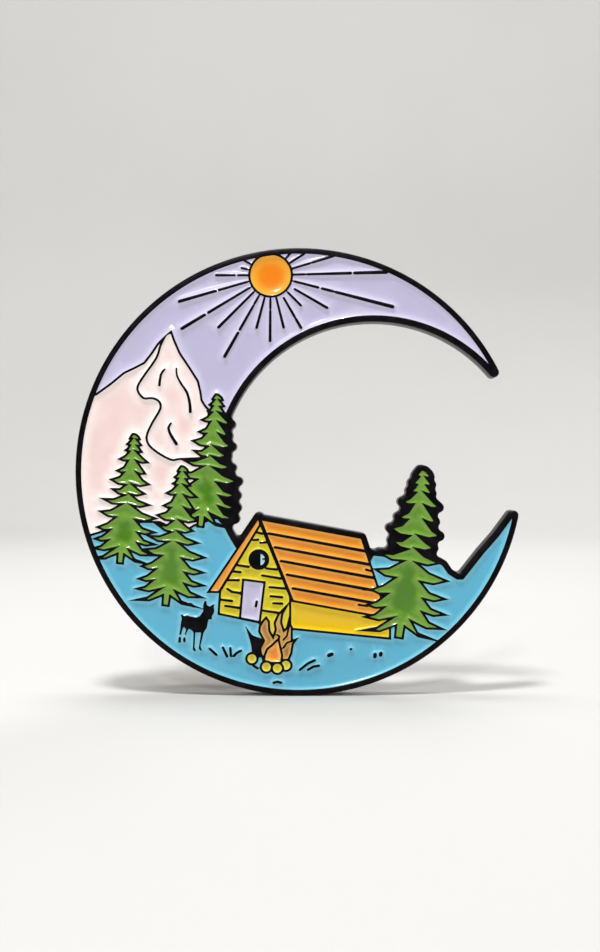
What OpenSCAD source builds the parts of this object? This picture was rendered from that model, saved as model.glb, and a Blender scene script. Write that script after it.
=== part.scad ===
// Crescent camp badge: a die-struck soft-enamel pin with two posts and two butterfly clutches.
//
// The pressing is drawn flat, face up, centred on the full circle that the crescent is cut from.
// module stood_up() then turns it upright: the face looks along -Y and +Z is the top of the picture.
// The origin is on the back face, midway between the two posts.

/* [Pressing] */
// Diameter of the full circle that the crescent is cut from
disc_d = 42; // [38:0.5:50]
// Thickness of the pressing, measured on the raised lines
plate_t = 2.0; // [1.6:0.1:2.6]
// Depth of the struck recesses below the raised lines
recess_depth = 0.5; // [0.3:0.05:0.7]
// Width of the raised lines between two colours
line_w = 0.22; // [0.16:0.02:0.26]
// Width of the raised rim outside the picture
rim_w = 0.48; // [0.4:0.02:0.7]

/* [Enamel] */
// Height of the raised lines above the middle of the enamel
enamel_sink = 0.08; // [0.04:0.02:0.16]

/* [Posts] */
// Diameter of a post
post_d = 1.1; // [1.0:0.05:1.3]
// Length of a post behind the back face
post_l = 9; // [8.5:0.25:10]
// Distance between the two posts, centre to centre
post_pitch = 24; // [20:0.5:25]
// Diameter of the foot that is brazed flush into the back
foot_d = 2.6; // [2.2:0.1:3.2]

/* [Clutches] */
// Outside diameter of a clutch
clutch_d = 11.2; // [10.6:0.2:12]
// Gap for the cloth between the back face and a clutch
cloth_gap = 2.1; // [2.1:0.1:2.8]
// Thickness of the sheet that a clutch is pressed from
sheet_t = 0.4; // [0.35:0.05:0.45]
// Height of the ears above the face of a clutch
ear_h = 5.2; // [4.6:0.1:5.6]
// Travel of each ear when the pair is squeezed
squeeze = 0.5; // [0.4:0.05:0.5]

/* [Hidden] */

$fn = 32;
art = disc_d / 42;                    // the picture is drawn for a 42 mm disc
field_r = disc_d / 2 - rim_w;         // edge of the picture, inside the rim
bite_c = [6.95, -0.35];               // centre of the round bite that makes the crescent
bite_r = 14.9;
post_x = -9.4 * art;
posts_up = [post_pitch / 2, -post_pitch / 2];
sliver = 0.07;                        // recesses narrower than twice this aren't struck
web = 0.35;                           // gaps between boughs narrower than twice this are left solid
hair = 0.005;                         // slack where a shape is held to its own outline

// ---- colours ----
black_nickel = "#17161a";
steel = "#c9ccd0";
brass = "#cfa94e";

// ---- curves ----
// A smooth curve through points p, with n steps between neighbours
function at(p, i) = p[max(0, min(len(p) - 1, i))];
function blend4(a, b, c, d, t) =
    0.5 * (2 * b + (c - a) * t + (2 * a - 5 * b + 4 * c - d) * t * t
        + (3 * b - a - 3 * c + d) * t * t * t);
function curve(p, n = 3) = [
    for (i = [0 : len(p) - 2])
        for (k = [0 : n - 1])
            blend4(at(p, i - 1), p[i], p[i + 1], at(p, i + 2), k / n),
    p[len(p) - 1]
];

// One straight piece of a stroke, from a to b, w0 wide at a and w1 at b
module dash(a, b, w0, w1) {
    side = [a[1] - b[1], b[0] - a[0]] / norm(b - a) / 2;
    polygon([a + side * w0, b + side * w1, b - side * w1, a - side * w0]);
    translate(a) circle(d = w0, $fn = 8);
    translate(b) circle(d = w1, $fn = 8);
}

// A raised stroke along points p, w0 wide at its start and w1 at its end
module stroke(p, w0 = line_w, w1 = line_w) {
    n = len(p) - 1;
    for (i = [0 : n - 1])
        dash(p[i], p[i + 1], w0 + (w1 - w0) * i / n, w0 + (w1 - w0) * (i + 1) / n);
}

// ---- the crescent ----
module disc() circle(r = field_r / art, $fn = 180);

module moon() {
    difference() {
        disc();
        translate(bite_c) circle(r = bite_r, $fn = 120);
        translate([-6, -30]) square([40, 34]);
    }
}

// ---- sun ----
sun_c = [-2.68, 18.4];
sun_r = 2.0;
// Each ray: its bearing, then the start and end of each dash, from the sun's centre
rays = [
    [180, 2.1, 3.05, 3.35, 5.1], [166, 2.3, 2.8], [151, 2.2, 2.8], [196, 2.25, 5.05, 5.35, 8.9],
    [211, 2.3, 6.8, 7.2, 9.7], [225, 2.25, 6.9], [240.5, 2.25, 3.05, 3.3, 5.85, 6.2, 8.75],
    [255, 2.25, 5.1], [269.5, 2.25, 3.1, 3.35, 6.15], [284, 2.2, 5.05], [300, 2.45, 4.45, 4.7, 5.7],
    [315, 2.3, 4.0], [330, 2.6, 6.1], [345.5, 2.3, 4.6, 4.95, 6.0, 6.3, 11.8],
    [1.5, 2.1, 3.2, 3.45, 7.5, 7.85, 10.85], [17, 2.15, 3.85, 4.1, 6.1], [32.5, 2.2, 3.7],
    [48, 2.2, 2.9]
];
module sun() translate(sun_c) circle(r = sun_r, $fn = 48);
// A ray gets wider as it goes out
function ray_w(r) = 0.19 + 0.015 * r;
module sun_rays()
    for (ray = rays)
        for (i = [1 : 2 : len(ray) - 2])
            translate(sun_c)
                rotate(ray[0])
                    stroke([[ray[i], 0], [ray[i + 1], 0]], ray_w(ray[i]), ray_w(ray[i + 1]));

// ---- mountain ----
left_shoulder = [[-22, 6.6], [-19, 7.25], [-16.4, 9.25], [-14.5, 10.2], [-13.2, 12], [-12, 13.1]];
right_shoulder = [[-12, 13.1], [-11.2, 11.1], [-9.5, 8.5], [-9.15, 6.7], [-8.5, 5.8]];
ridge = [[-12.5, 12.8], [-13, 11.8], [-13.4, 10.6], [-14.8, 8.6], [-15.15, 7.7], [-14.6, 6.9], [-13.8, 6.9],
    [-13.15, 6.6], [-13, 5.9], [-13.8, 4.5], [-14.3, 3.2], [-13.8, 2.2], [-12.1, 1.15], [-11.2, 1.2],
    [-9.8, 1.25], [-8.4, 1.3]];
scree = [
    [[-12.6, 9.6], [-12.95, 9.1], [-13.1, 8.1]],
    [[-11.5, 9.7], [-11.45, 9], [-11, 8.15], [-10.5, 7.4], [-10.25, 6.4], [-10.2, 5.6]],
    [[-12, 4.55], [-12.25, 4.1], [-12, 3.4], [-11.5, 2.6]]
];
module mountain()
    polygon(concat(curve(left_shoulder, 2), curve(right_shoulder, 2), [[-8, 0], [-8.8, -9], [-22, -9]]));
function backwards(p) = [for (i = [len(p) - 1 : -1 : 0]) p[i]];
module mountain_face() polygon(concat(curve(ridge, 3), backwards(curve(right_shoulder, 2))));
module scree_strokes() {
    stroke(curve(scree[0], 2), 0.2, 0.26);
    stroke(curve(scree[1], 2), 0.16, 0.3);
    stroke(curve(scree[2], 2), 0.2, 0.32);
}

// ---- lake and snow ground ----
shore = [[-22, -6.3], [-19.6, -5.95], [-17.2, -5.2], [-14.8, -4.7], [-13.1, -4.7], [-11.7, -5.3],
    [-10.6, -5.5], [-9.9, -5.05], [-8.9, -4.7], [-7.7, -4.3], [-7, -5], [-6.6, -5.8], [-5.9, -7]];
bank = [[6.9, -7.75], [13.1, -8.5], [13.5, -8.75], [14, -9.5], [14.8, -10], [15.3, -10], [15.7, -9.5],
    [17.2, -7.6], [18.6, -6], [20, -4.1]];
module lake() {
    intersection() {
        disc();
        polygon(concat(shore, [[-3.6, -9], [6, -9.5]], bank, [[24, -4], [24, -24], [-24, -24]]));
    }
}

// ---- fir: drawn upright, 15.9 tall, with its foot at the origin ----
// Each bough: [shoulder, tip, crook] from the top down
// Its top edge sags between crook and tip, and its underside is full
function bough(b) =
    let (reach = norm(b[1] - b[2]))
        [b[0] - [0, 0.09 * reach], b[1], b[2] + 0.5 * (b[1] - b[2]) - [0, 0.11 * reach], b[2]];
fir_h = 15.9;
right_boughs = [
    [[0.65, 15.6], [0.8, 15.3], [0.4, 15.25]], [[0.75, 14.95], [1.05, 14.6], [0.55, 14.5]],
    [[0.9, 14.2], [1.2, 13.8], [0.5, 13.8]], [[1.3, 13.25], [2.05, 12.6], [0.65, 12.65]],
    [[1.35, 11.95], [1.9, 11.2], [0.85, 11.25]], [[1.7, 10.55], [2.5, 9.95], [0.45, 9.75]],
    [[1.3, 9.3], [2.1, 8.75], [0.4, 8.5]], [[1.35, 8.05], [2.8, 7.45], [0.65, 7.2]],
    [[2, 6.6], [3.75, 5.9], [1.25, 5.5]], [[2.25, 4.75], [3.8, 4.2], [1.75, 3.95]],
    [[2.6, 3.3], [4, 2.75], [1.85, 2.7]], [[2.6, 2.1], [3.95, 1.4], [0.9, 1.75]],
    [[1.7, 0.95], [3.2, 0.3], [0.4, 1.15]]
];
left_boughs = [
    [[-0.3, 15.6], [-0.45, 15.25], [-0.2, 15.2]], [[-0.45, 14.85], [-0.7, 14.55], [-0.3, 14.45]],
    [[-0.5, 14.1], [-0.8, 13.8], [-0.3, 13.7]], [[-0.8, 13.15], [-1.4, 12.65], [-0.35, 12.6]],
    [[-0.75, 11.8], [-1.55, 11.2], [-0.7, 11.1]], [[-1.15, 10.65], [-2.15, 10.05], [-0.3, 9.6]],
    [[-0.95, 9.15], [-1.85, 8.9], [-0.3, 8.35]], [[-1.6, 7.9], [-2.85, 7.6], [-0.55, 7.2]],
    [[-1.8, 6.5], [-3.05, 6.05], [-1.1, 5.55]], [[-2.1, 4.8], [-3.2, 4.1], [-1.6, 3.95]],
    [[-2.45, 3.25], [-3.35, 2.65], [-1.75, 2.65]], [[-2.5, 2.1], [-3.4, 1.5], [-0.8, 1.8]],
    [[-2.1, 0.95], [-3.3, 0.25], [-0.4, 1.15]]
];
module fir()
    polygon(concat(
        [[0.25, 15.85]],
        [for (b = right_boughs) each bough(b)],
        [[0.38, 0], [-0.35, 0]],
        [for (b = backwards(left_boughs)) each backwards(bough(b))],
        [[-0.1, 15.9]]
    ));
// Each fir: foot, height, lean to the right in degrees
firs = [
    [[-16.8, -8.57], 12.2, 6.2], [[-12.53, -12.52], 13.15, 6.8],
    [[-9.27, -5.15], 12.5, 7.1], [[9.3, -15.55], 15.9, 8.1]
];
module fir_at(i) translate(firs[i][0]) rotate(-firs[i][2]) scale(firs[i][1] / fir_h) fir();
module left_fir() fir_at(0);
module middle_fir() fir_at(1);
module back_fir() fir_at(2);
module right_fir() fir_at(3);

// ---- cabin ----
ridge_end = [5.85, -6.2];
eave_end = [8.3, -13.7];
gable_peak = [-3.65, -4.45];
eave_foot = [-0.6, -12.1];
roof_lines = 5;
module roof() polygon([gable_peak, ridge_end, eave_end, eave_foot]);
// The boards' lines stop a little short of the verge on the left
module roof_board_lines()
    for (i = [1 : roof_lines]) {
        t = i / (roof_lines + 1);
        verge = gable_peak + (eave_foot - gable_peak) * t;
        tail = ridge_end + (eave_end - ridge_end) * t;
        run = tail - verge;
        stroke([verge + run * (0.025 + 0.006 * i), verge + run * 1.02], 0.26, 0.3);
    }
// Splits at the ends of three boards
module roof_splits() {
    stroke([[6.25, -9.15], [7.05, -9.4]], 0.24, 0.16);
    stroke([[5.95, -11], [6.7, -11.1]], 0.24, 0.16);
    stroke([[5.55, -12.45], [6.4, -12.6]], 0.24, 0.16);
}
module bargeboard() polygon([[-3.8, -4.25], [-8.5, -11.25], [-7.5, -11.25], [-3.65, -4.95]]);
module gable()
    polygon([[-3.63, -4.9], [-0.85, -11.7], [-0.85, -14.75], [-2.45, -15.5], [-3.8, -14.1],
        [-7.55, -13.3], [-7.4, -11.15]]);
log_marks = [
    [[-4.3, -6.4], [-3.85, -6.35]], [[-3.65, -6.65], [-3.1, -6.6]], [[-4.05, -5.65], [-3.5, -5.8]],
    [[-6.1, -8.7], [-4.75, -8.9]], [[-6.5, -9.3], [-5.5, -9.4]], [[-7, -10.15], [-5.65, -10.15]],
    [[-3.5, -9.7], [-1.75, -10]], [[-3.1, -9.05], [-2.1, -9.15]], [[-2.8, -10.8], [-1.1, -10.95]],
    [[-6.75, -10.95], [-6.3, -11.25], [-5.55, -11.35]], [[-7.5, -11.95], [-6.3, -12.1]],
    [[-6.95, -12.55], [-5.6, -12.75]], [[-2.7, -11.65], [-1.6, -11.75]], [[-2.45, -12.3], [-1.6, -12.35]],
    [[-3.4, -13], [-2, -13.2]]
];
module log_strokes()
    for (mark = log_marks)
        stroke(mark, 0.22, 0.26);
module side_wall() polygon([[-0.85, -12], [8.5, -13.7], [8.5, -15.62], [-0.55, -14.72], [-0.85, -14.7]]);
module door() polygon([[-5.25, -10.1], [-3.25, -10.35], [-3.7, -14.08], [-5.55, -13.7]]);
module door_handle() stroke([[-3.98, -12.15], [-4.06, -12.6]], 0.26, 0.26);
window_c = [-3.78, -8.22];
// A round black frame; only the right-hand half of the glass is filled
module window_frame() translate(window_c) circle(r = 0.98);
module window_pane() {
    difference() {
        translate(window_c) circle(r = 0.68);
        translate(window_c + [-0.95, -1]) square([1, 2]);
    }
}
module window_bar() stroke([window_c + [0.35, 0.05], window_c + [0.8, 0.08]], 0.16, 0.16);

// ---- camp fire ----
flame_edge = [
    [-3.3, -17.85], [-3.6, -16.95], [-3.65, -16.55], [-3.3, -15.8], [-3.75, -14.95], [-3.7, -14.5],
    [-3.45, -14.05], [-3.1, -13.65], [-2.85, -14], [-2.8, -14.9], [-2.45, -15.5], [-2.2, -14.8],
    [-2.3, -14.15], [-1.95, -13.35], [-1.2, -12.6], [-1.6, -13.3], [-1.7, -14.1], [-1.45, -14.9],
    [-1.15, -14.65], [-0.98, -14], [-0.7, -14.6], [-0.7, -15.85], [-0.3, -15.7], [-0.62, -16.15],
    [-0.75, -17], [-1.05, -17.7], [-1.75, -17.9]
];
flame_strokes = [
    [[-1.5, -15.75], [-1.15, -15.35], [-0.97, -14.5]],
    [[-0.7, -15.85], [-1.15, -16], [-1.5, -16.5]],
    [[-2.1, -15.25], [-1.85, -15.4], [-1.95, -15.8]]
];
ember_edge = [[-1.95, -15.65], [-2.5, -16.2], [-3, -16.6], [-3.25, -17.2], [-3.3, -17.9], [-1.7, -17.9],
    [-1.6, -17.2], [-1.75, -16.5]];
stones = [[-4.43, -17.5], [-3.08, -18.28], [-2.05, -18.4], [-1.25, -18.12]];
stone_r = 0.53;
leaf_edge = [[-4.75, -15], [-4.5, -15.35], [-4.2, -15.5], [-3.3, -15.8], [-3.6, -16.5], [-3.5, -17.2],
    [-4, -17.4], [-4.35, -17.1], [-4.35, -16.5], [-4.5, -15.8]];
module flame() polygon(flame_edge);
module flame_marks()
    for (mark = flame_strokes)
        stroke(mark, 0.18, 0.2);
module ember() polygon(ember_edge);
module fire_stone(i) translate(stones[i]) circle(r = stone_r, $fn = 20);
module fire_stones() {
    for (i = [0 : len(stones) - 1])
        fire_stone(i);
}
module black_leaf() polygon(leaf_edge);

// ---- dog, paw marks and grass: solid raised metal ----
dog_edge = [
    [-8.7, -12.05], [-8.65, -12.5], [-8.35, -12.6], [-8.2, -12.5], [-7.9, -12.35], [-8, -12.6],
    [-7.95, -13], [-8, -13.25], [-8.2, -13.55], [-8.15, -13.8], [-8.5, -13.85], [-8.65, -14.6],
    [-8.95, -15.05], [-9.25, -16.3], [-9.1, -16.7], [-9.2, -16.8], [-9.42, -16.55], [-9.25, -15.45],
    [-9.2, -15.05], [-9.72, -15.05], [-9.8, -16.45], [-9.65, -16.7], [-9.75, -16.85],
    [-9.97, -16.65], [-9.9, -15.05], [-10.05, -14.85], [-10.35, -14.7], [-10.65, -15.3],
    [-10.73, -15.2], [-10.6, -14.8], [-10.8, -14.5], [-10.95, -14.8], [-11.05, -15.25],
    [-11.25, -15.25], [-11.15, -14.8], [-11.1, -14.25], [-11, -13.7], [-11.1, -13.4], [-11, -13.3],
    [-10.85, -13.5], [-10.45, -13.45], [-10.15, -13.55], [-9.65, -13.65], [-9.3, -13.5],
    [-9, -13.05], [-9, -12.55], [-8.9, -12.15]
];
grass = [
    [[-8.4, -16.55], [-7.75, -17.15]], [[-7.15, -16.45], [-6.75, -17.3]], [[-6.45, -16.5], [-6.4, -17.25]],
    [[-5.45, -16.75], [-5.85, -16.95], [-6.12, -17.25]],
    [[0.05, -18.55], [0.8, -17.95], [1.45, -17.65]],
    [[0.8, -18.55], [1.3, -18.25], [1.85, -18.15]],
    [[-2.4, -19.75], [-2.05, -19.65], [-1.7, -19.75]],
    [[-11.18, -15.55], [-11.2, -15.9]], [[-10.75, -15.6], [-10.75, -15.85]], [[-4.3, -18.15], [-3.9, -18.4]],
    [[-10.2, -12.35], [-9.9, -12.6]], [[4.8, -16.6], [4.85, -16.6]]
];
pebbles = [[[2.75, -17.2], [3.05, -17.08]], [[7.08, -17.3], [7.1, -17.1]], [[7.62, -17.15], [7.64, -17]]];
module dog() polygon(dog_edge);
module grass_strokes() {
    for (blade = grass)
        stroke(blade, 0.24, 0.26);
    for (stone = pebbles)
        stroke(stone, 0.36, 0.36);
}

// ---- recesses: each is its outline less whatever stands in front of it, drawn in by half a line ----
// children(0) is the outline, children(1) what stands in front, children(2) the strokes across it
module drawn_in()
    difference() {
        offset(delta = -line_w / 2)
            scale(art)
                difference() {
                    children(0);
                    children(1);
                }
        scale(art) children(2);
    }
// The slivers are taken out by shrinking and growing, which must not grow a corner past its place
module recess()
    offset(delta = 0)
        intersection() {
            offset(delta = sliver)
                offset(delta = -sliver)
                    drawn_in() {
                        children(0);
                        children(1);
                        children(2);
                    }
            offset(delta = hair)
                drawn_in() {
                    children(0);
                    children(1);
                    children(2);
                }
        }
module nothing() square(0.001, center = true);
module cabin() {
    roof();
    bargeboard();
    gable();
    side_wall();
}
module fire() {
    flame();
    ember();
    fire_stones();
    black_leaf();
}
module left_trees() {
    left_fir();
    middle_fir();
    back_fir();
}

module sky_recess()
    recess() {
        moon();
        union() {
            sun();
            mountain();
            back_fir();
            translate([-24, -24]) square([20, 29.2]);
        }
        sun_rays();
    }
module sun_recess()
    recess() {
        intersection() {
            disc();
            sun();
        }
        nothing();
        nothing();
    }
module mountain_slope_recess()
    recess() {
        intersection() {
            moon();
            mountain();
        }
        union() {
            mountain_face();
            lake();
            left_trees();
        }
        nothing();
    }
module mountain_face_recess()
    recess() {
        mountain_face();
        left_trees();
        scree_strokes();
    }
module lake_recess()
    recess() {
        lake();
        union() {
            left_trees();
            right_fir();
            cabin();
            fire();
        }
        union() {
            dog();
            grass_strokes();
        }
    }
module left_fir_recess()
    recess() {
        intersection() {
            disc();
            left_fir();
        }
        middle_fir();
        nothing();
    }
module middle_fir_recess()
    recess() {
        middle_fir();
        nothing();
        nothing();
    }
module back_fir_recess()
    recess() {
        back_fir();
        middle_fir();
        nothing();
    }
module right_fir_recess()
    recess() {
        right_fir();
        nothing();
        nothing();
    }
module roof_recess()
    recess() {
        roof();
        right_fir();
        union() {
            roof_board_lines();
            roof_splits();
        }
    }
module bargeboard_recess()
    recess() {
        bargeboard();
        roof();
        nothing();
    }
module gable_recess()
    recess() {
        gable();
        union() {
            roof();
            bargeboard();
            door();
            fire();
        }
        union() {
            log_strokes();
            window_frame();
        }
    }
module side_wall_recess()
    recess() {
        side_wall();
        union() {
            roof();
            gable();
            right_fir();
            fire();
        }
        nothing();
    }
module door_recess()
    recess() {
        door();
        nothing();
        door_handle();
    }
module window_recess()
    recess() {
        window_pane();
        nothing();
        window_bar();
    }
module flame_recess()
    recess() {
        flame();
        union() {
            ember();
            fire_stones();
        }
        flame_marks();
    }
module ember_recess()
    recess() {
        ember();
        fire_stones();
        nothing();
    }
module fire_stone_recess()
    for (i = [0 : len(stones) - 1])
        recess() {
            fire_stone(i);
            union() {
                if (i == 1) fire_stone(2);
                if (i == 3) fire_stone(2);
            }
            nothing();
        }

// ---- pressing ----
module silhouette()
    offset(r = -web)
        offset(r = rim_w + web, $fn = 24)
            scale(art) {
                moon();
                lake();
                intersection() {
                    union() {
                        left_trees();
                        right_fir();
                        cabin();
                    }
                    disc();
                }
            }
module all_recesses() {
    sky_recess();
    sun_recess();
    mountain_slope_recess();
    mountain_face_recess();
    lake_recess();
    left_fir_recess();
    middle_fir_recess();
    back_fir_recess();
    right_fir_recess();
    roof_recess();
    bargeboard_recess();
    gable_recess();
    side_wall_recess();
    door_recess();
    window_recess();
    flame_recess();
    ember_recess();
    fire_stone_recess();
}

// Turns the flat drawing upright and puts the origin midway between the posts, on the back face
module stood_up() rotate([90, 0, 0]) translate([-post_x, 0, 0]) children();

foot_t = 0.4;
module base_plate()
    color(black_nickel)
        stood_up()
            difference() {
                linear_extrude(plate_t) silhouette();
                translate([0, 0, plate_t - recess_depth])
                    linear_extrude(recess_depth + 1) all_recesses();
                for (up = posts_up)
                    translate([post_x, up, -1]) cylinder(d = foot_d, h = 1 + foot_t);
            }

module fill()
    stood_up()
        translate([0, 0, plate_t - recess_depth])
            linear_extrude(recess_depth - enamel_sink) children();

module sky_enamel() color("#cdc6e4") fill() sky_recess();
module sun_enamel() color("#ff9f24") fill() sun_recess();
module mountain_slope_enamel() color("#f5cdc3") fill() mountain_slope_recess();
module mountain_face_enamel() color("#f7d6cd") fill() mountain_face_recess();
module lake_enamel() color("#6ec3de") fill() lake_recess();
module left_fir_enamel() color("#5f961d") fill() left_fir_recess();
module middle_fir_enamel() color("#5f961d") fill() middle_fir_recess();
module back_fir_enamel() color("#5f961d") fill() back_fir_recess();
module right_fir_enamel() color("#5f961d") fill() right_fir_recess();
module roof_enamel() color("#f8a241") fill() roof_recess();
module bargeboard_enamel() color("#f8a241") fill() bargeboard_recess();
module gable_enamel() color("#e6d71e") fill() gable_recess();
module side_wall_enamel() color("#f0c80a") fill() side_wall_recess();
module door_enamel() color("#beb4d7") fill() door_recess();
module window_enamel() color("#a5d4e4") fill() window_recess();
module flame_enamel() color("#d9a878") fill() flame_recess();
module ember_enamel() color("#f59a2c") fill() ember_recess();
module fire_stone_enamel() color("#e6d71e") fill() fire_stone_recess();

// ---- posts: a round wire with a flush foot, a groove near the end and a point ----
groove_at = 7.1;                      // from the back face
groove_w = 0.5;
groove_d = post_d - 0.3;
groove_slope = 0.12;                  // length of the groove's sloping sides
point_l = 1.1;
point_r = 0.08;                       // the point is slightly blunt
module post(up)
    color(steel)
        stood_up()
            translate([post_x, up, 0])
                rotate([180, 0, 0])
                    rotate_extrude()
                        polygon([[0, -foot_t], [foot_d / 2, -foot_t], [foot_d / 2, 0], [post_d / 2, 0],
                            [post_d / 2, groove_at], [groove_d / 2, groove_at + groove_slope],
                            [groove_d / 2, groove_at + groove_w - groove_slope],
                            [post_d / 2, groove_at + groove_w],
                            [post_d / 2, post_l - point_l], [point_r, post_l], [0, post_l]]);
module upper_post() post(posts_up[0]);
module lower_post() post(posts_up[1]);

// ---- clutches: drawn with the face that presses on the cloth at z = 0 ----
bore_d = post_d + 0.14;               // free on the post
rim_up = 1.3;                         // height of the cup's turned-up edge
cover_x = 2.6;                        // half length of the cover, along the jaws
cover_y = 2.4;                        // half width of the cover
jaw_t = 0.35;                         // thickness of the ears' sheet
jaw_gap = 0.05;                       // slip between the sheets
jaw_y = 1.6;
grip_r = post_d / 2 + 0.02;
right_jaw_z = sheet_t + jaw_gap;
left_jaw_z = right_jaw_z + jaw_t + jaw_gap;
spring_d = 0.36;
spring_z = left_jaw_z + jaw_t + 0.12;
cover_z = spring_z + spring_d + 0.08; // inside of the cover's top
ear_x = 3.3;                          // inner face of an ear at its root
cup_corner = 0.5;                     // radius where the cup's edge turns up
cup_corner_in = 0.2;
dimple_r = 0.35;
dimple_at = 3.7;                      // from the cup's centre
dimple_count = 6;
jaw_back = 1.9;                       // a jaw runs this far past the post
slot_l = squeeze + 0.15;              // length of a jaw's slot, from the post's centre

module on_post(up)
    stood_up()
        translate([post_x, up, -cloth_gap])
            rotate([180, 0, 0])
                children();

module clutch_cup()
    color(brass) {
        difference() {
            rotate_extrude($fn = 64)
                polygon([[0, 0], [clutch_d / 2 - cup_corner, 0],
                    [clutch_d / 2 - 0.3 * cup_corner, 0.3 * cup_corner], [clutch_d / 2, cup_corner],
                    [clutch_d / 2, rim_up], [clutch_d / 2 - sheet_t, rim_up],
                    [clutch_d / 2 - sheet_t, sheet_t + cup_corner_in],
                    [clutch_d / 2 - sheet_t - cup_corner_in, sheet_t], [0, sheet_t]]);
            translate([0, 0, -1]) cylinder(d = bore_d, h = 3);
            for (i = [0 : dimple_count - 1])
                rotate((i + 0.5) * 360 / dimple_count)
                    translate([dimple_at, 0, -dimple_r * 0.45]) sphere(r = dimple_r);
        }
    }

module clutch_cover()
    color(brass)
        difference() {
            translate([-cover_x, -cover_y, sheet_t]) cube([2 * cover_x, 2 * cover_y, cover_z]);
            translate([-cover_x - 1, -cover_y + sheet_t, 0])
                cube([2 * cover_x + 2, 2 * (cover_y - sheet_t), cover_z]);
            cylinder(d = bore_d + 0.4, h = 10);
        }

// An oval of spring wire round the post, which holds the two ears apart
spring_x = ear_x - 0.02;
spring_y = 1.7;
function oval(x, y) = [for (a = [0 : 9 : 351]) [x * cos(a), y * sin(a)]];
module clutch_spring()
    color(steel)
        translate([0, 0, spring_z])
            linear_extrude(spring_d)
                difference() {
                    polygon(oval(spring_x, spring_y));
                    polygon(oval(spring_x - spring_d, spring_y - spring_d));
                }

// An ear's sheet from the side: how far out it is, and its height, from the jaw at height z
function ear_side(z) = [[0, z], [0.3, z], [0.45, z + 0.2], [0.55, z + 1.4], [1.15, z + 3],
    [1.75, ear_h - 0.4], [1.8, ear_h], [1.45, ear_h], [1.4, ear_h - 0.3], [0.8, z + 3.1],
    [0.2, z + 1.5], [0, z + 0.4]];
// Half of an ear's outline, seen from its end: half width, height
ear_half = [[jaw_y, 0], [jaw_y, 1.6], [2.5, 2.4], [2.6, ear_h - 0.9], [1.9, ear_h]];

// One jaw and its ear, the ear on the +x side; z is the height of its sheet
module ear(z)
    color(brass) {
        difference() {
            translate([-jaw_back, -jaw_y, z]) cube([jaw_back + ear_x + 0.1, 2 * jaw_y, jaw_t]);
            translate([0, 0, z - 1]) cylinder(r = grip_r, h = 3);
            translate([0, -grip_r, z - 1]) cube([slot_l, 2 * grip_r, 3]);
            translate([slot_l, 0, z - 1]) cylinder(r = grip_r, h = 3);
        }
        intersection() {
            translate([ear_x, 0, 0])
                rotate([90, 0, 0])
                    linear_extrude(2 * clutch_d, center = true) polygon(ear_side(z));
            rotate([90, 0, 90])
                linear_extrude(clutch_d)
                    polygon(concat(ear_half, backwards([for (p = ear_half) [-p[0], p[1]]])));
        }
    }
module right_ear() ear(right_jaw_z);
module left_ear() rotate(180) ear(left_jaw_z);

module upper_clutch_cup() on_post(posts_up[0]) clutch_cup();
module upper_clutch_cover() on_post(posts_up[0]) clutch_cover();
module upper_clutch_spring() on_post(posts_up[0]) clutch_spring();
module upper_clutch_right_ear() on_post(posts_up[0]) right_ear();
module upper_clutch_left_ear() on_post(posts_up[0]) left_ear();
module lower_clutch_cup() on_post(posts_up[1]) clutch_cup();
module lower_clutch_cover() on_post(posts_up[1]) clutch_cover();
module lower_clutch_spring() on_post(posts_up[1]) clutch_spring();
module lower_clutch_right_ear() on_post(posts_up[1]) right_ear();
module lower_clutch_left_ear() on_post(posts_up[1]) left_ear();

base_plate();
sky_enamel();
sun_enamel();
mountain_slope_enamel();
mountain_face_enamel();
lake_enamel();
left_fir_enamel();
middle_fir_enamel();
back_fir_enamel();
right_fir_enamel();
roof_enamel();
bargeboard_enamel();
gable_enamel();
side_wall_enamel();
door_enamel();
window_enamel();
flame_enamel();
ember_enamel();
fire_stone_enamel();
upper_post();
lower_post();
upper_clutch_cup();
upper_clutch_cover();
upper_clutch_spring();
upper_clutch_right_ear();
upper_clutch_left_ear();
lower_clutch_cup();
lower_clutch_cover();
lower_clutch_spring();
lower_clutch_right_ear();
lower_clutch_left_ear();
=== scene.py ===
from math import cos, pi, radians, sin

import bpy
import numpy as np
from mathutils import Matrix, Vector
from mathutils.geometry import delaunay_2d_cdt
from mathutils.kdtree import KDTree


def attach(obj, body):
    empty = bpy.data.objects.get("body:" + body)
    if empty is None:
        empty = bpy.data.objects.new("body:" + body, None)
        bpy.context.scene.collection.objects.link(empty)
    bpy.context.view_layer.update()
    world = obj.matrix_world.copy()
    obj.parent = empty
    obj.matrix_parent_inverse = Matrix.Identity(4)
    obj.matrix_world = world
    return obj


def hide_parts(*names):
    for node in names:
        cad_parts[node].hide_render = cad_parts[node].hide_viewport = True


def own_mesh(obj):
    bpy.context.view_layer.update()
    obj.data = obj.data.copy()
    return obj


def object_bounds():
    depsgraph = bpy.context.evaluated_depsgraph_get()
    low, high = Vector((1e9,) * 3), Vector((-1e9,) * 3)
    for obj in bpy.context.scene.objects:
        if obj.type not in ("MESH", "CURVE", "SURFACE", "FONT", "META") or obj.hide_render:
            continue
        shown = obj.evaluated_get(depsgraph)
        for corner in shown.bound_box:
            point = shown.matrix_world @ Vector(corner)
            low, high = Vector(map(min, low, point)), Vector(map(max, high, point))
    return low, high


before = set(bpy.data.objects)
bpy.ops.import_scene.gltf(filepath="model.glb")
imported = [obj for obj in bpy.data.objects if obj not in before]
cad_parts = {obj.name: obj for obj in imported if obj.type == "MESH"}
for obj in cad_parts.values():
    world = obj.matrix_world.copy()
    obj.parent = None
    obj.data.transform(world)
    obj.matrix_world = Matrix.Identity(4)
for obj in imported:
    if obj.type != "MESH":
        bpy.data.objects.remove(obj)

cad_low, cad_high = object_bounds()

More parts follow.
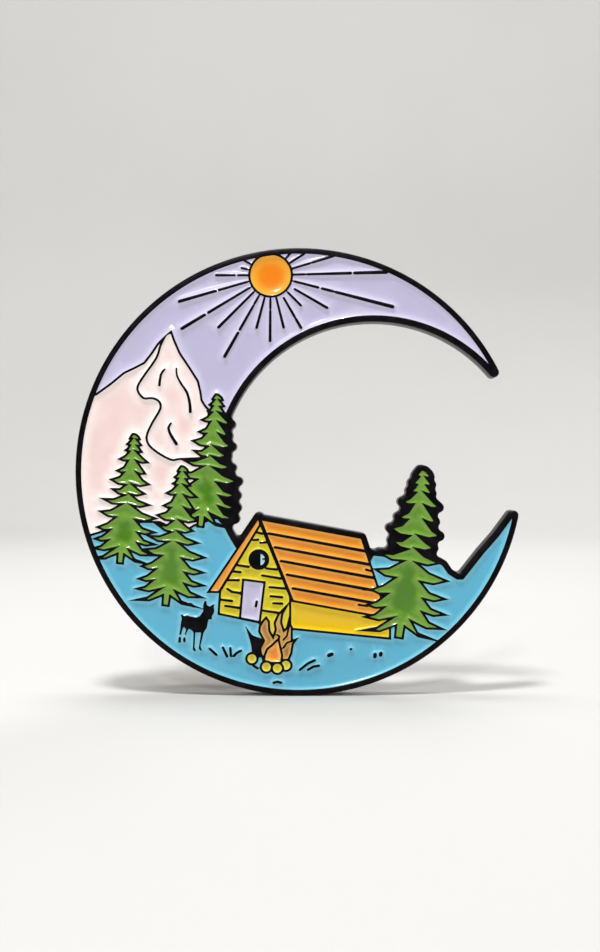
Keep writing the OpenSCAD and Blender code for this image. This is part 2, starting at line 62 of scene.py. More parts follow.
# ---- pressing ----
# The badge is struck from one piece of iron sheet: a thin rim and thin raised lines stand round
# sunk pockets, and it is plated black nickel after its edges are tumbled round. Its face is one
# net of points over the struck outline, because that outline is far too fine to extrude by hand.
MM = 0.001
FACE = -2.0
BACK = 0.0
FILL_TOP = -1.92
POCKET_FLOOR = -1.5
STEP = 0.08
SOFTENING = (0.5, -0.48, 0.5, -0.48)
RIM_ROUND = 0.24
RIM_DROP = 0.3
LINE_ROUND = 0.09
LINE_DROP = 0.06
BACK_ROUND = 0.22
FOOT_R = 1.3
FOOT_T = 0.4
POST_X = 0.0
POSTS_Z = (12.0, -12.0)
FILLS = [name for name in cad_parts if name.endswith("_enamel")]


def outlines(node, level):
    """Closed outlines of a node's flat face at height y = level in mm, the face on their left."""
    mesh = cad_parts[node].data
    spot = [tuple(round(c / MM, 4) for c in vertex.co) for vertex in mesh.vertices]
    edges = set()
    for face in mesh.polygons:
        ring = [spot[i] for i in face.vertices]
        if all(abs(y - level) < 0.001 for x, y, z in ring):
            corners = [(x, z) for x, y, z in ring]
            edges.update(zip(corners, corners[1:] + corners[:1]))
    after = {a: b for a, b in edges if (b, a) not in edges}
    starts = set(after) - set(after.values())
    for end in sorted(set(after.values()) - set(after)):
        after[end] = min(sorted(starts), key=lambda start: (Vector(start) - Vector(end)).length)
    loops = []
    while after:
        start, here = after.popitem()
        loop = [start]
        while here != start:
            loop.append(here)
            here = after.pop(here)
        loops.append(np.array(loop))
    return sorted(loops, key=lambda loop: (-len(loop), loop[0][0], loop[0][1]))


def softened(loop):
    """The same outline with even steps and its corners rounded as a die leaves them."""
    first = np.lexsort((loop[:, 1], loop[:, 0]))[0]
    loop = np.roll(loop, -first, axis=0)
    closed = np.vstack([loop, loop[:1]])
    run = np.concatenate([[0], np.cumsum(np.linalg.norm(np.diff(closed, axis=0), axis=1))])
    count = max(10, round(run[-1] / STEP))
    marks = np.arange(count) * run[-1] / count
    even = np.column_stack([np.interp(marks, run, closed[:, k]) for k in (0, 1)])
    for pull in SOFTENING:
        even += pull * ((np.roll(even, 1, axis=0) + np.roll(even, -1, axis=0)) / 2 - even)
    return even


def gaps(points, loops):
    """Distance from each point to the nearest outline."""
    corners = np.vstack(loops)
    after = np.vstack([np.roll(loop, -1, axis=0) for loop in loops])
    before = np.vstack([np.roll(loop, 1, axis=0) for loop in loops])
    tree = KDTree(len(corners))
    for i, (x, z) in enumerate(corners):
        tree.insert((x, z, 0), i)
    tree.balance()
    near = np.array([tree.find((x, z, 0))[1] for x, z in points])
    best = np.full(len(points), np.inf)
    for other in (after, before):
        a, span = corners[near], other[near] - corners[near]
        part = np.clip(((points - a) * span).sum(1) / (span ** 2).sum(1), 0, 1)
        best = np.minimum(best, np.linalg.norm(points - a - span * part[:, None], axis=1))
    return best


def net(loops, rows=(), pitch=None):
    """Flat triangles inside loops that have the face on their left. Rows of points follow the
    loops at the given distances, and points fill the rest, pitch apart."""
    corners = np.vstack(loops)
    extra = [np.empty((0, 2))]
    for row in rows:
        kept = []
        for loop in loops:
            along = np.roll(loop, -1, axis=0) - np.roll(loop, 1, axis=0)
            along /= np.linalg.norm(along, axis=1)[:, None]
            skip = max(1, round(row / STEP / 1.4))
            kept.append((loop + row * np.column_stack([-along[:, 1], along[:, 0]]))[::skip])
        kept = np.vstack(kept)
        extra.append(kept[gaps(kept, loops) > 0.9 * row])
    if pitch:
        low, high = corners.min(0), corners.max(0)
        xs, zs = np.meshgrid(np.arange(low[0], high[0], pitch), np.arange(low[1], high[1], pitch))
        xs[::2] += pitch / 2
        grid = np.column_stack([xs.ravel(), zs.ravel()])
        extra.append(grid[gaps(grid, loops) > rows[-1] + pitch / 2])
    points = np.vstack([corners] + extra)
    spread = {}
    for i, (x, z) in enumerate(points):
        cell = (round(x / STEP * 2.5), round(z / STEP * 2.5))
        if i < len(corners) or cell not in spread:
            spread[cell] = i
    used = sorted(set(range(len(corners))) | set(spread.values()))
    points = points[used]
    starts = np.cumsum([0] + [len(loop) for loop in loops])
    wall = [(int(s + i), int(s + (i + 1) % len(loop)))
            for s, loop in zip(starts, loops) for i in range(len(loop))]
    found, _, faces, came, _, _ = delaunay_2d_cdt([Vector(p) for p in points], wall, [], 0, 1e-6)
    now = {old: new for new, olds in enumerate(came) for old in olds}
    inside = {(now[a], now[b]) for a, b in wall}
    outside = {(b, a) for a, b in inside}
    owner = {}
    for i, face in enumerate(faces):
        for a, b in zip(face, face[1:] + face[:1]):
            owner[a, b] = i
    todo = [owner[edge] for edge in inside if edge in owner]
    kept = set(todo)
    while todo:
        face = faces[todo.pop()]
        for a, b in zip(face, face[1:] + face[:1]):
            neighbour = owner.get((b, a))
            if (a, b) not in inside and neighbour is not None and neighbour not in kept:
                kept.add(neighbour)
                todo.append(neighbour)
    assert not any(owner.get(edge) in kept for edge in outside)
    return np.array([tuple(p) for p in found]), [faces[i] for i in sorted(kept)]


class Shell:
    """Collects the faces of one closed piece."""

    def __init__(self):
        self.points, self.faces, self.marks = [], [], []

    def lay(self, flat, heights, faces, marks=None, away=False):
        """A net at the given heights, which faces the back if away is true."""
        base = len(self.points)
        self.points += [(x * MM, y * MM, z * MM) for (x, z), y in zip(flat, heights)]
        self.marks += list(marks) if marks is not None else [0.0] * len(flat)
        self.faces += [[base + i for i in (face[::-1] if away else face)] for face in faces]

    def fence(self, loop, near, far):
        """A wall along loop from height near back to height far, facing away from its left."""
        count = len(loop)
        base = len(self.points)
        for level in (near, far):
            self.points += [(x * MM, level * MM, z * MM) for x, z in loop]
            self.marks += [0.0] * count
        for i in range(count):
            j = (i + 1) % count
            self.faces.append([base + j, base + i, base + count + i, base + count + j])

    def piece(self, name, sharp):
        """The finished piece, its doubles merged and its curved parts smooth up to angle sharp."""
        mesh = bpy.data.meshes.new(name)
        mesh.from_pydata(self.points, [], self.faces)
        mesh.attributes.new("from_line", "FLOAT", "POINT").data.foreach_set("value", self.marks)
        made = bpy.data.objects.new(name, mesh)
        bpy.context.collection.objects.link(made)
        bpy.ops.object.select_all(action="DESELECT")
        made.select_set(True)
        bpy.context.view_layer.objects.active = made
        bpy.ops.object.mode_set(mode="EDIT")
        bpy.ops.mesh.select_all(action="SELECT")
        bpy.ops.mesh.remove_doubles(threshold=2e-7)
        bpy.ops.object.mode_set(mode="OBJECT")
        bpy.ops.object.shade_smooth_by_angle(angle=sharp)
        return made


def rounded(gap, radius, drop):
    """How far a surface has fallen at a distance from its edge, for a quarter-round edge."""
    part = np.clip(gap / radius, 0, 1)
    return drop * (1 - np.sqrt(1 - (1 - part) ** 2))


pocket_loops = {name: [softened(loop) for loop in outlines(name, FILL_TOP)] for name in FILLS}
struck = max(outlines("base_plate", FACE), key=lambda loop: np.ptp(loop[:, 0]))
rim_loop = np.clip(softened(struck), struck.min(0), struck.max(0))
pocket_walls = [loop for loops in pocket_loops.values() for loop in loops]
plate = Shell()
flat, faces = net([rim_loop] + [loop[::-1] for loop in pocket_walls],
                  rows=(0.035, LINE_ROUND, 0.16, RIM_ROUND), pitch=0.7)
fallen = np.maximum(rounded(gaps(flat, [rim_loop]), RIM_ROUND, RIM_DROP),
                    rounded(gaps(flat, pocket_walls), LINE_ROUND, LINE_DROP))
plate.lay(flat, FACE + fallen, faces)
plate.fence(rim_loop, FACE + RIM_DROP, BACK - BACK_ROUND)
circle = [pi * 2 * i / 48 for i in range(48)]
feet = [np.array([(POST_X + FOOT_R * cos(-a), z + FOOT_R * sin(-a)) for a in circle])
        for z in POSTS_Z]
flat, faces = net([rim_loop] + feet, rows=(0.03, 0.09, BACK_ROUND), pitch=1.5)
plate.lay(flat, BACK - rounded(gaps(flat, [rim_loop]), BACK_ROUND, BACK_ROUND), faces, away=True)
for loop in feet:
    plate.fence(loop, BACK - FOOT_T, BACK)
    flat, faces = net([loop[::-1]])
    plate.lay(flat, [BACK - FOOT_T] * len(flat), faces, away=True)
pocket_floors = {}
for name, loops in pocket_loops.items():
    pocket_floors[name] = net(loops)
    flat, faces = pocket_floors[name]
    plate.lay(flat, [POCKET_FLOOR] * len(flat), faces)
    for loop in loops:
        plate.fence(loop[::-1], FACE + LINE_DROP, POCKET_FLOOR)
pressing = plate.piece("pressing", radians(50))
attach(pressing, "badge")
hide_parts("base_plate")


class Wire:
    """A value in a material. Sums and products of wires add the nodes that work them out."""

    def __init__(self, tree, socket=None):
        self.tree, self.socket = tree, socket

    def node(self, kind, values=None, output=0, stops=None, **settings):
        """A node of any kind: its settings first, then the values or wires of its sockets."""
        made = self.tree.nodes.new(kind)
        for name, value in settings.items():
            setattr(made, name, value)
        if stops:
            while len(made.color_ramp.elements) < len(stops):
                made.color_ramp.elements.new(0.5)
            for element, (place, colour) in zip(made.color_ramp.elements, stops):
                element.position, element.color = place, colour
        for name, value in (values or {}).items():
            if isinstance(value, Wire):
                self.tree.links.new(value.socket, made.inputs[name])
            else:
                made.inputs[name].default_value = value
        return Wire(self.tree, made.outputs[output])

    def math(self, operation, a, b=0.0):
        return self.node("ShaderNodeMath", {0: a, 1: b}, operation=operation)

    def __add__(self, other):
        return self.math("ADD", self, other)

    def __sub__(self, other):
        return self.math("SUBTRACT", self, other)

    def __rsub__(self, other):
        return self.math("SUBTRACT", other, self)

    def __mul__(self, other):
        return self.math("MULTIPLY", self, other)

    def __truediv__(self, other):
        return self.math("DIVIDE", self, other)

    __radd__, __rmul__ = __add__, __mul__

    def ease(self, low, high):
        """0 up to low, 1 from high on, and a smooth step between them."""
        return self.node("ShaderNodeMapRange", {0: self, 1: low, 2: high},
                         interpolation_type="SMOOTHSTEP")

    def between(self, a, b):
        """A colour that is a where this is 0 and b where it is 1."""
        return self.node("ShaderNodeMix", {0: self, 6: a, 7: b}, output=2, data_type="RGBA")

    def cloud(self, scale, detail=3.0, stretch=(1, 1, 1)):
        """Soft noise from 0 to 1, scale lumps to a metre of the piece."""
        place = self.node("ShaderNodeTexCoord", output=3)
        place = self.node("ShaderNodeMapping", {0: place, 3: stretch})
        return self.node("ShaderNodeTexNoise", {"Vector": place, "Scale": scale, "Detail": detail})


def dye(red, green, blue):
    """A colour from its 0 to 255 screen values."""
    colour = []
    for part in (red / 255, green / 255, blue / 255):
        colour.append(part / 12.92 if part < 0.04 else ((part + 0.055) / 1.055) ** 2.4)
    return colour + [1]


def finish(name, **constants):
    """A new material with the given constants, its shader's node and a wire to build on."""
    material = bpy.data.materials.new(name)
    material.use_nodes = True
    shader = material.node_tree.nodes["Principled BSDF"]
    for socket, value in constants.items():
        shader.inputs[socket.replace("_", " ")].default_value = value
    return material, shader, Wire(material.node_tree)


def feed(shader, wire, socket):
    wire.tree.links.new(wire.socket, shader.inputs[socket])


nickel, shader, wire = finish("black nickel plating", Metallic=1.0)
smoky = wire.cloud(900)
fine = wire.cloud(9000, detail=4.0)
feed(shader, smoky.ease(0.35, 0.7).between(dye(19, 18, 20), dye(30, 28, 31)), "Base Color")
feed(shader, 0.26 + 0.14 * smoky + 0.1 * fine, "Roughness")
normal = wire.node("ShaderNodeTexCoord", output=1)
facing = wire.node("ShaderNodeSeparateXYZ", {0: normal}, output=1)
pebbles = wire.node("ShaderNodeTexVoronoi", {"Vector": wire.node("ShaderNodeTexCoord", output=3),
                                             "Scale": 3600.0}, feature="SMOOTH_F1")
relief = 0.15 * fine + facing.ease(0.6, 0.95) * pebbles
feed(shader, wire.node("ShaderNodeBump", {"Strength": 0.5, "Distance": 0.00005, "Height": relief}),
     "Normal")
pressing.data.materials.append(nickel)

# ---- enamel ----
# Soft enamel is dropped into each pocket and baked. It shrinks as it cures, so it is dished:
# it clings to the raised lines and sinks between them. Near the lines its colour is painted
# paler, a painted reflection on the dished edges.
CLING = -1.945
SAG = 0.17
REACH = 0.26


def sunk(flat, faces, held):
    """How far a liquid that clings to the held points has sunk at each point, from 0 to 1."""
    corner = np.array(faces)
    area = np.zeros(len(flat))
    near, far, pull = [], [], []
    for k in range(3):
        apex, a, b = corner[:, k], corner[:, k - 2], corner[:, k - 1]
        to_a, to_b = flat[a] - flat[apex], flat[b] - flat[apex]
        twice = to_a[:, 0] * to_b[:, 1] - to_a[:, 1] * to_b[:, 0]
        hold = np.clip((to_a * to_b).sum(1) / np.maximum(twice, 1e-7), 0.02, 20) / 2
        area += np.bincount(apex, twice / 6, len(flat))
        near += [a, b]
        far += [b, a]
        pull += [hold, hold]
    near, far, pull = np.concatenate(near), np.concatenate(far), np.concatenate(pull)
    total = np.bincount(near, pull, len(flat))
    level = np.ones(len(flat))
    for _ in range(250):
        level = np.bincount(near, pull * level[far], len(flat)) / (total + area / REACH ** 2)
        level[held] = 1
    return 1 - level


# Each fill: the body of its colour and the paler colour painted near its lines as a reflection,
# its finish in the record, how mottled it is, and how far in from a line its body colour begins,
# in mm
GREEN = (dye(66, 118, 0), dye(112, 156, 54), "green_enamel", 0.12, 0.8)
PINK = (dye(232, 204, 200), dye(244, 230, 226), "pink_enamel", 0.35, 1.1)
ORANGE = (dye(222, 134, 16), dye(232, 160, 60), "orange_enamel", 0.2, 0.4)
YELLOW = (dye(196, 178, 0), dye(214, 198, 40), "yellow_enamel", 0.2, 0.4)
TINTS = {
    "sky_enamel": (dye(182, 177, 206), dye(198, 193, 218), "lilac_enamel", 0.1, 0.8),
    "sun_enamel": (dye(232, 126, 0), dye(238, 168, 50), "orange_enamel", 0.15, 1.1),
    "mountain_slope_enamel": PINK,
    "mountain_face_enamel": PINK,
    "lake_enamel": (dye(84, 168, 198), dye(116, 190, 212), "blue_enamel", 0.1, 0.5),
    "left_fir_enamel": GREEN,
    "middle_fir_enamel": GREEN,
    "back_fir_enamel": GREEN,
    "right_fir_enamel": GREEN,
    "roof_enamel": ORANGE,
    "bargeboard_enamel": ORANGE,
    "gable_enamel": YELLOW,
    "side_wall_enamel": (dye(222, 180, 0), dye(230, 196, 10), "yellow_enamel", 0.2, 0.4),
    "door_enamel": (dye(184, 178, 206), dye(202, 198, 222), "lilac_enamel", 0.2, 0.5),
    "window_enamel": (dye(150, 198, 216), dye(176, 212, 226), "blue_enamel", 0.2, 0.3),
    "flame_enamel": (dye(156, 108, 56), dye(206, 160, 84), "tan_enamel", 0.7, 0.3),
    "ember_enamel": (dye(226, 112, 6), dye(240, 182, 80), "orange_enamel", 0.6, 0.5),
    "fire_stone_enamel": (dye(190, 172, 0), dye(222, 208, 84), "yellow_enamel", 0.3, 0.4),
}
for name, loops in pocket_loops.items():
    flat, faces = net(loops, rows=(0.06, 0.14, 0.26, 0.44), pitch=0.5)
    gap = gaps(flat, loops)
    fill = Shell()
    fill.lay(flat, CLING + SAG * sunk(flat, faces, gap < 1e-4), faces, marks=gap)
    flat, faces = pocket_floors[name]
    fill.lay(flat, [POCKET_FLOOR] * len(flat), faces, away=True)
    for loop in loops:
        fill.fence(loop, CLING, POCKET_FLOOR)
    enamel = fill.piece(name.replace("_enamel", "_fill"), radians(60))
    body, edge, slot, mottle, sheen_width = TINTS[name]
    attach(enamel, "badge")
    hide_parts(name)
    glaze, shader, wire = finish(name.replace("_", " "), Coat_Weight=0.5,
                                 Coat_Roughness=0.03, Specular_IOR_Level=0.25)
    depth = wire.node("ShaderNodeAttribute", output=2, attribute_name="from_line")
    lumps = wire.cloud(1100)
    # Painted reflection: the colour is paler near the lines and fades into the body colour further
    # in.
    away_from_sheen = (depth + 0.3 * lumps - 0.15).ease(0.02, sheen_width)
    tint = away_from_sheen.between(edge, body)
    tint = (mottle * wire.cloud(330, detail=2.0).ease(0.4, 0.7)).between(tint, edge)
    feed(shader, tint, "Base Color")
    feed(shader, 0.14 + 0.12 * lumps, "Roughness")
    ripple = wire.node("ShaderNodeBump", {"Strength": 0.3, "Distance": 0.00001, "Height": lumps})
    feed(shader, ripple, "Normal")
    enamel.data.materials.append(glaze)

# ---- posts ----
# Two steel pins are brazed into the back. Each is turned with a flat foot, which a fillet of
# solder holds, and has a groove for a clutch's jaws and a blunt point that passes through cloth.
POST_R = 0.55
POST_L = 9.0
GROOVE = (7.1, 7.6)
GROOVE_R = 0.4


def alone(*pieces):
    """Makes these the only selected pieces, the last of them active."""
    bpy.ops.object.select_all(action="DESELECT")
    for piece in pieces:
        piece.select_set(True)
    bpy.context.view_layer.objects.active = pieces[-1]


def turned(name, profile, sides, closed=False):
    """A round piece drawn up from its first ring through (radius, height) steps in mm. It is
    solid, or a closed ring of metal where the profile ends where it starts."""
    (first_r, first_h), steps = profile[0], profile[1:]
    bpy.ops.object.select_all(action="DESELECT")
    bpy.ops.mesh.primitive_circle_add(vertices=sides, radius=first_r * MM,
                                      fill_type="NOTHING" if closed else "NGON",
                                      location=(0, 0, first_h * MM))
    made = bpy.context.object
    made.name = made.data.name = name
    bpy.ops.object.transform_apply(location=True)
    bpy.ops.object.mode_set(mode="EDIT")
    bpy.ops.mesh.select_all(action="SELECT")
    radius, height = first_r, first_h
    for next_r, next_h in steps:
        rise = (0, 0, (next_h - height) * MM)
        bpy.ops.mesh.extrude_region_move(TRANSFORM_OT_translate={"value": rise})
        spread = next_r / radius
        bpy.ops.transform.resize(value=(spread, spread, 1), center_override=(0, 0, 0))
        radius, height = next_r, next_h
    bpy.ops.mesh.select_all(action="SELECT")
    bpy.ops.mesh.remove_doubles(threshold=1e-7)
    bpy.ops.mesh.normals_make_consistent(inside=False)
    bpy.ops.object.mode_set(mode="OBJECT")
    return made


def arc(centre, radius, start, end, count):
    """Points round part of a circle, in mm and degrees."""
    steps = [radians(start + (end - start) * i / count) for i in range(count + 1)]
    return [(centre[0] + radius * cos(a), centre[1] + radius * sin(a)) for a in steps]


def mounted(piece, behind, z):
    """Turns a piece drawn with its axis up to point backwards, behind mm off the back face."""
    alone(piece)
    piece.rotation_euler = (-pi / 2, 0, 0)
    piece.location = (POST_X * MM, behind * MM, z * MM)
    bpy.ops.object.transform_apply(location=True, rotation=True, scale=True)


def smooth(piece, sharp=35):
    alone(piece)
    bpy.ops.object.shade_smooth_by_angle(angle=radians(sharp))


steel, shader, wire = finish("bright steel", Metallic=1.0)
drawn = wire.cloud(2200, detail=4.0, stretch=(1, 6, 1))
feed(shader, drawn.between(dye(196, 198, 203), dye(222, 223, 226)), "Base Color")
feed(shader, 0.2 + 0.2 * drawn, "Roughness")
feed(shader, wire.node("ShaderNodeBump", {"Strength": 0.3, "Distance": 0.00001, "Height": drawn}),
     "Normal")

tip = arc((0.0, POST_L - 0.13), 0.13, 30, 80, 4)
profile = [(FOOT_R - 0.05, -FOOT_T), (FOOT_R, -FOOT_T + 0.05), (FOOT_R, -0.03)]
profile += [(FOOT_R - 0.03, 0.01), (1.0, 0.06)] + arc((0.86, 0.42), 0.31, 270, 180, 6)
profile += [(POST_R, 0.5), (POST_R, GROOVE[0] - 0.05), (POST_R - 0.03, GROOVE[0])]
profile += [(GROOVE_R, GROOVE[0] + 0.12), (GROOVE_R, GROOVE[1] - 0.12), (POST_R - 0.03, GROOVE[1])]
profile += [(POST_R, GROOVE[1] + 0.05), (POST_R, POST_L - 1.15), (POST_R - 0.03, POST_L - 1.05)]
profile += tip + [(0.004, POST_L)]
for z, where in zip(POSTS_Z, ("upper", "lower")):
    post = turned(f"{where}_pin", profile, 40)
    mounted(post, BACK, z)
    smooth(post)
    post.data.materials.append(steel)
    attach(post, "badge")
    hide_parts(f"{where}_post")

# ---- clutch cups ----
# A butterfly clutch is pressed from thin brass. Its round cup turns up at the edge, where the
# metal is rolled over so that it is smooth to hold, and six pips on its face grip the cloth.
CLUTCH_R = 5.6
CLOTH_GAP = 2.1
SHEET = 0.4
BORE_R = 0.62
EDGE_H = 1.3
ROLL = 0.3
PIPS = 6
PIP_R = 0.36
PIP_AT = 3.7
PIP_OUT = 0.16


def cut(piece, cutter):
    """Cuts the shape of one piece out of another."""
    alone(piece)
    knife = piece.modifiers.new("cut", "BOOLEAN")
    knife.operation, knife.object, knife.solver = "DIFFERENCE", cutter, "EXACT"
    bpy.ops.object.modifier_apply(modifier="cut")
    bpy.data.objects.remove(cutter)


def twin(piece, name):
    """A copy with its own mesh for the lower post."""
    copy = piece.copy()
    copy.data = piece.data.copy()
    copy.name = copy.data.name = name
    bpy.context.collection.objects.link(copy)
    alone(copy)
    copy.location.z = (POSTS_Z[1] - POSTS_Z[0]) * MM
    bpy.ops.object.transform_apply(location=True)
    return copy


brass, shader, wire = finish("stamped brass", Metallic=1.0)
worn = wire.cloud(420, detail=5.0)
grain = wire.cloud(5200, detail=3.0, stretch=(1, 1, 0.25))
tone = worn.ease(0.35, 0.75).between(dye(214, 176, 92), dye(188, 146, 68))
feed(shader, tone, "Base Color")
feed(shader, 0.22 + 0.2 * worn + 0.1 * grain, "Roughness")
feed(shader, wire.node("ShaderNodeBump", {"Strength": 0.3, "Distance": 0.000015, "Height": grain}),
     "Normal")

profile = [(BORE_R, 0.12), (BORE_R + 0.12, 0.0), (1.6, 0.0), (1.9, 0.06), (2.9, 0.06), (3.2, 0.0)]
profile += arc((CLUTCH_R - 0.5, 0.5), 0.5, 270, 360, 6)
profile += [(CLUTCH_R, EDGE_H - ROLL)]
profile += arc((CLUTCH_R - ROLL, EDGE_H - ROLL), ROLL, 20, 250, 9)
profile += [(CLUTCH_R - SHEET, 0.62)]
profile += arc((CLUTCH_R - SHEET - 0.22, SHEET + 0.22), 0.22, 0, -90, 4)
profile += [(3.2, SHEET), (2.9, SHEET + 0.06), (1.9, SHEET + 0.06), (1.6, SHEET)]
profile += [(BORE_R + 0.05, SHEET), (BORE_R, SHEET - 0.05), (BORE_R, 0.12)]
cup = turned("upper_cup", profile, 96, closed=True)
for i in range(PIPS):
    turn = 2 * pi * (i + 0.5) / PIPS
    spot = (PIP_AT * cos(turn) * MM, PIP_AT * sin(turn) * MM, -PIP_OUT * MM)
    bpy.ops.mesh.primitive_uv_sphere_add(segments=20, ring_count=12, radius=PIP_R * MM,
                                         location=spot)
    cut(cup, bpy.context.object)
mounted(cup, CLOTH_GAP, POSTS_Z[0])
smooth(cup)
cup.data.materials.append(brass)

# ---- clutch covers ----
# A strap of the same brass is bent over the jaws and its two feet are staked to the cup. It is
# open at both ends, where the ears come out, and has a hole that the post passes through.
COVER_X, COVER_Y = 2.6, 2.4
COVER_TOP = 2.16
HOLE_R = 0.82


def strip(name, path, halves, thickness, bevel):
    """Sheet metal drawn from a straight edge along (x, z) steps in mm. halves gives its half
    width at each step, and thickness is laid half on each side of the path."""
    bpy.ops.object.select_all(action="DESELECT")
    bpy.ops.mesh.primitive_plane_add(size=2 * MM)
    made = bpy.context.object
    made.name = made.data.name = name
    bpy.ops.object.mode_set(mode="EDIT")
    bpy.ops.mesh.select_all(action="DESELECT")
    bpy.ops.object.mode_set(mode="OBJECT")
    for vertex in made.data.vertices:
        vertex.select = vertex.co.x > 0
    bpy.ops.object.mode_set(mode="EDIT")
    bpy.ops.mesh.delete(type="VERT")
    bpy.ops.mesh.select_all(action="SELECT")
    bpy.ops.mesh.subdivide(number_cuts=7)
    bpy.ops.mesh.select_all(action="SELECT")
    x, z, half = -1, 0, 1
    for step, ((next_x, next_z), next_half) in enumerate(zip(path, halves)):
        move = ((next_x - x) * MM, 0, (next_z - z) * MM)
        if step:
            bpy.ops.mesh.extrude_region_move(TRANSFORM_OT_translate={"value": move})
        else:
            bpy.ops.transform.translate(value=move)
        bpy.ops.transform.resize(value=(1, next_half / half, 1), center_override=(0, 0, 0))
        x, z, half = next_x, next_z, next_half
    bpy.ops.mesh.select_all(action="SELECT")
    bpy.ops.mesh.normals_make_consistent(inside=False)
    bpy.ops.object.mode_set(mode="OBJECT")
    wall = made.modifiers.new("wall", "SOLIDIFY")
    wall.thickness, wall.offset = thickness * MM, 0
    bpy.ops.object.modifier_apply(modifier="wall")
    edge = made.modifiers.new("edge", "BEVEL")
    edge.width, edge.segments, edge.limit_method = bevel * MM, 2, "ANGLE"
    edge.angle_limit = radians(50)
    bpy.ops.object.modifier_apply(modifier="edge")
    return made


mid = SHEET / 2
BEND = 0.4
SLACK = 0.01
corner = (COVER_Y - mid - BEND, COVER_TOP - mid - BEND)
path = [(-COVER_Y + mid, SHEET + SLACK)] + arc((-corner[0], corner[1]), BEND, 180, 90, 5)
path += [(0.0, COVER_TOP - mid)]
path += arc(corner, BEND, 90, 0, 5) + [(COVER_Y - mid, SHEET + SLACK)]
cover = strip("upper_strap", path, [COVER_X - SLACK] * len(path), SHEET - SLACK, 0.09)
alone(cover)
cover.rotation_euler = (0, 0, pi / 2)
bpy.ops.object.transform_apply(rotation=True)
bpy.ops.mesh.primitive_cylinder_add(vertices=48, radius=HOLE_R * MM, depth=3 * MM,
                                    location=(0, 0, COVER_TOP * MM))
cut(cover, bpy.context.object)
mounted(cover, CLOTH_GAP, POSTS_Z[0])
smooth(cover)
cover.data.materials.append(brass)

# ---- clutch springs ----
# An oval of spring wire lies round the post inside the strap. It pushes the two ears apart and
# so holds the jaws' slots tight on the post.
WIRE_R = 0.18
SPRING = (3.28, 1.7)
SPRING_Z = 1.5
bpy.ops.object.select_all(action="DESELECT")
bpy.ops.curve.primitive_bezier_circle_add(radius=1.0)
spring = bpy.context.object
spring.name = spring.data.name = "upper_spring_ring"
spring.scale = ((SPRING[0] - WIRE_R) * MM, (SPRING[1] - WIRE_R) * MM, MM)
spring.location.z = SPRING_Z * MM
bpy.ops.object.transform_apply(location=True, scale=True)
spring.data.resolution_u = 24
spring.data.bevel_depth = WIRE_R * MM
spring.data.bevel_resolution = 4
bpy.ops.object.convert(target="MESH")
spring = bpy.context.object
mounted(spring, CLOTH_GAP, POSTS_Z[0])
smooth(spring, 60)
spring.data.materials.append(steel)

# ---- clutch ears ----
# Each ear is one strip of brass: a slotted jaw that slides under the strap, then a wing that
# bends up and outwards to a ribbed, rounded top where a finger squeezes it.
JAW_T = 0.35
JAW_Z = (0.45, 0.85)
JAW_BACK = 1.9
JAW_HALF = 1.6
EAR_X = 3.3
EAR_H = 5.2
GRIP_R = 0.57
SLOT = 0.65


def ear(name, low):
    """An ear on the +x side whose jaw's underside is at height low."""
    level = low + JAW_T / 2
    path = [(-JAW_BACK, level), (EAR_X - 0.15, level)]
    path += arc((EAR_X - 0.15, level + 0.33), 0.33, -80, -10, 5)
    path += [(EAR_X + 0.22, low + 0.95), (EAR_X + 0.33, low + 1.4)]
    halves = [JAW_HALF] * (len(path) - 1) + [JAW_HALF + 0.05]
    base = Vector((EAR_X + 0.33, low + 1.4))
    top = Vector((EAR_X + 1.6, EAR_H - 0.02))
    side = Vector((top.y - base.y, base.x - top.x)).normalized()
    steps = 26
    for i in range(1, steps + 1):
        part = i / steps
        bow = 0.14 * sin(pi * part)
        rib = 0.05 * sin(part * 2 * pi * 6.5) if 0.45 < part < 0.92 else 0
        spot = base.lerp(top, part) + side * (bow + rib)
        path.append((spot.x, spot.y))
        flare = 2.58 - 0.93 * max(0, 1 - part / 0.3) ** 2
        crown = 1 if part < 0.72 else (1 - 0.5 * ((part - 0.72) / 0.28) ** 3)
        halves.append(flare * crown)
    made = strip(name, path, halves, JAW_T, 0.08)
    # The slot: half a bore round the post, drawn out straight, and a whole bore at its far end
    bpy.ops.object.select_all(action="DESELECT")
    bpy.ops.mesh.primitive_cylinder_add(vertices=32, radius=GRIP_R * MM, depth=3 * MM,
                                        location=(0, 0, level * MM))
    cutter = bpy.context.object
    bpy.ops.object.mode_set(mode="EDIT")
    bpy.ops.mesh.select_all(action="SELECT")
    bpy.ops.mesh.bisect(plane_co=(0, 0, 0), plane_no=(1, 0, 0), clear_outer=True, use_fill=True)
    bpy.ops.mesh.select_all(action="DESELECT")
    bpy.ops.object.mode_set(mode="OBJECT")
    for face in cutter.data.polygons:
        face.select = face.normal.x > 0.99
    bpy.ops.object.mode_set(mode="EDIT")
    bpy.ops.mesh.extrude_region_move(TRANSFORM_OT_translate={"value": (SLOT * MM, 0, 0)})
    bpy.ops.object.mode_set(mode="OBJECT")
    cut(made, cutter)
    bpy.ops.mesh.primitive_cylinder_add(vertices=32, radius=GRIP_R * MM, depth=3 * MM,
                                        location=(SLOT * MM, 0, level * MM))
    cut(made, bpy.context.object)
    return made


right = ear("upper_right_wing", JAW_Z[0])
mounted(right, CLOTH_GAP, POSTS_Z[0])
left = ear("upper_left_wing", JAW_Z[1])
alone(left)
left.rotation_euler = (0, 0, pi)
bpy.ops.object.transform_apply(rotation=True)
mounted(left, CLOTH_GAP, POSTS_Z[0])
for wing in (right, left):
    smooth(wing)
    wing.data.materials.append(brass)

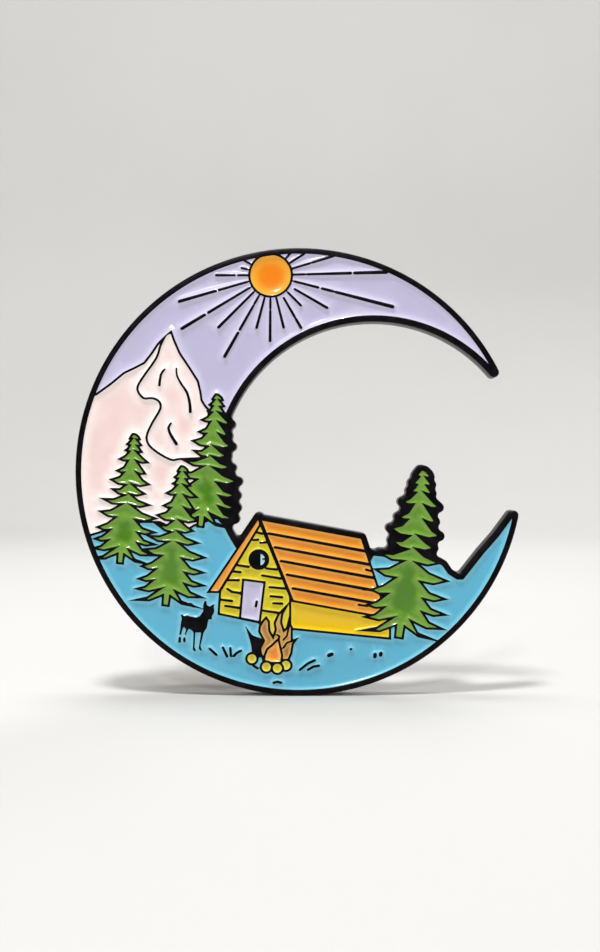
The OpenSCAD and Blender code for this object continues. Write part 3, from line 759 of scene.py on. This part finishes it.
for made, node, body, slot in (
    (cup, "cup", "clutch", "clutch_brass"),
    (cover, "cover", "clutch", "clutch_brass"),
    (spring, "spring", "clutch", "spring_steel"),
    (right, "right_ear", "right_ear", "clutch_brass"),
    (left, "left_ear", "left_ear", "clutch_brass"),
):
    lower = twin(made, made.name.replace("upper", "lower"))
    for piece, where in ((made, "upper"), (lower, "lower")):
        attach(piece, f"{where}_{body}")
        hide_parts(f"{where}_clutch_{node}")
        if node == "spring":
            z = POSTS_Z[0] if where == "upper" else POSTS_Z[1]
            z * MM
            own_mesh(piece)

# ---- stage ----
# A pale round studio floor whose edge curves up into a wall, lit by five soft boxes and a pale
# sky. The camera looks squarely at the face.
floor_y = cad_low.z
flat_r, bend_r, wall_h = 0.26, 0.16, 0.5
profile = [(0.0, 0.0), (flat_r, 0.0)]
for angle in [radians(9 * i) for i in range(1, 11)]:
    profile.append((flat_r + bend_r * sin(angle), bend_r - bend_r * cos(angle)))
profile += [(flat_r + bend_r, wall_h)]
sweep_mesh = bpy.data.meshes.new("studio_floor")
turns = 96
points = [(r * cos(2 * pi * t / turns), r * sin(2 * pi * t / turns), floor_y + h)
          for t in range(turns) for r, h in profile[1:]]
points.append((0, 0, floor_y))
rows = len(profile) - 1
faces = []
for t in range(turns):
    u = (t + 1) % turns
    faces.append([len(points) - 1, t * rows, u * rows])
    for k in range(rows - 1):
        faces.append([t * rows + k, t * rows + k + 1, u * rows + k + 1, u * rows + k])
sweep_mesh.from_pydata(points, [], faces)
sweep = bpy.data.objects.new("studio_floor", sweep_mesh)
bpy.context.collection.objects.link(sweep)
for face in sweep_mesh.polygons:
    face.use_smooth = True
paper, shader, wire = finish("studio paper", Roughness=0.9)
feed(shader, wire.cloud(12).between(dye(184, 183, 181), dye(190, 189, 187)), "Base Color")
sweep_mesh.materials.append(paper)

world = bpy.data.worlds.new("studio")
world.use_nodes = True
world.node_tree.nodes["Background"].inputs[0].default_value = (0.9, 0.93, 1.0, 1)
world.node_tree.nodes["Background"].inputs[1].default_value = 0.25
bpy.context.scene.world = world


def soft_box(name, place, size, watts, aim=(0.0095, 0, 0)):
    lamp = bpy.data.lights.new(name, "AREA")
    lamp.shape = "DISK"
    lamp.size = size
    lamp.energy = watts
    stand = bpy.data.objects.new(name, lamp)
    bpy.context.collection.objects.link(stand)
    stand.location = place
    stand.visible_camera = False
    stand.rotation_euler = (Vector(place) - Vector(aim)).to_track_quat("Z", "Y").to_euler()


soft_box("key", (-0.03, -0.09, 0.28), 0.05, 0.92)
soft_box("glint", (-0.03, -0.25, 0.15), 0.03, 0.24)
soft_box("fill", (0.2, -0.25, 0.1), 0.22, 0.06)
soft_box("back", (0.1, 0.25, 0.25), 0.2, 0.4)
soft_box("backdrop", (0.0, 0.05, 0.34), 0.2, 1.3, aim=(0, 0.42, 0.12))

camera = bpy.data.objects.new("camera", bpy.data.cameras.new("camera"))
bpy.context.collection.objects.link(camera)
camera.location = (0.00947, -0.0970, -0.0004)
camera.rotation_euler = (pi / 2, 0, 0)
camera.data.sensor_fit = "VERTICAL"
camera.data.sensor_height = 36
camera.data.lens = 38.4
camera.data.clip_start = 0.005
bpy.context.scene.camera = camera
bpy.context.scene.view_settings.view_transform = "Standard"
